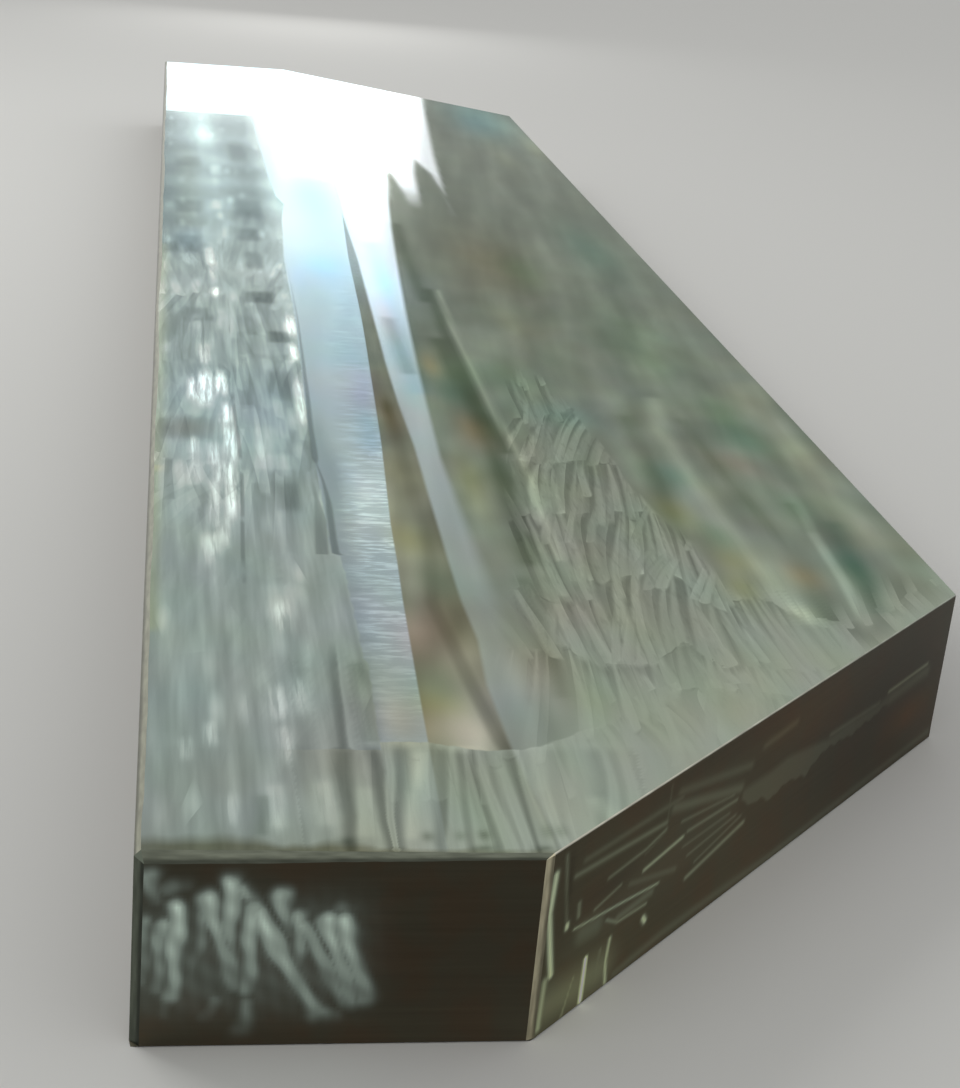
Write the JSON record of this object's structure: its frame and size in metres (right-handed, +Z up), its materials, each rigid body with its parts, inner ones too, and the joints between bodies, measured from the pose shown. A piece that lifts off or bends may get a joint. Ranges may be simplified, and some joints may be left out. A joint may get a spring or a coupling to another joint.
{
  "type": "forged steel plate",
  "caption": "Thick forged steel plate, milled flat, with both corners of its right side cut off at 45 degrees; raw stock for machining or welding.",
  "frame": {"origin": "middle of the underside's bounding rectangle", "axes": "+Y along the length, towards the far end; +Z up through the thickness; +X across the width, towards the side whose corners are cut off"},
  "size_m": [1, 4.8, 0.2],
  "materials": {
    "forged_steel": "milled and hand-ground bare steel"
  },
  "bodies": {
    "root": {"forged_plate": "forged_steel"}
  },
  "joints": []
}
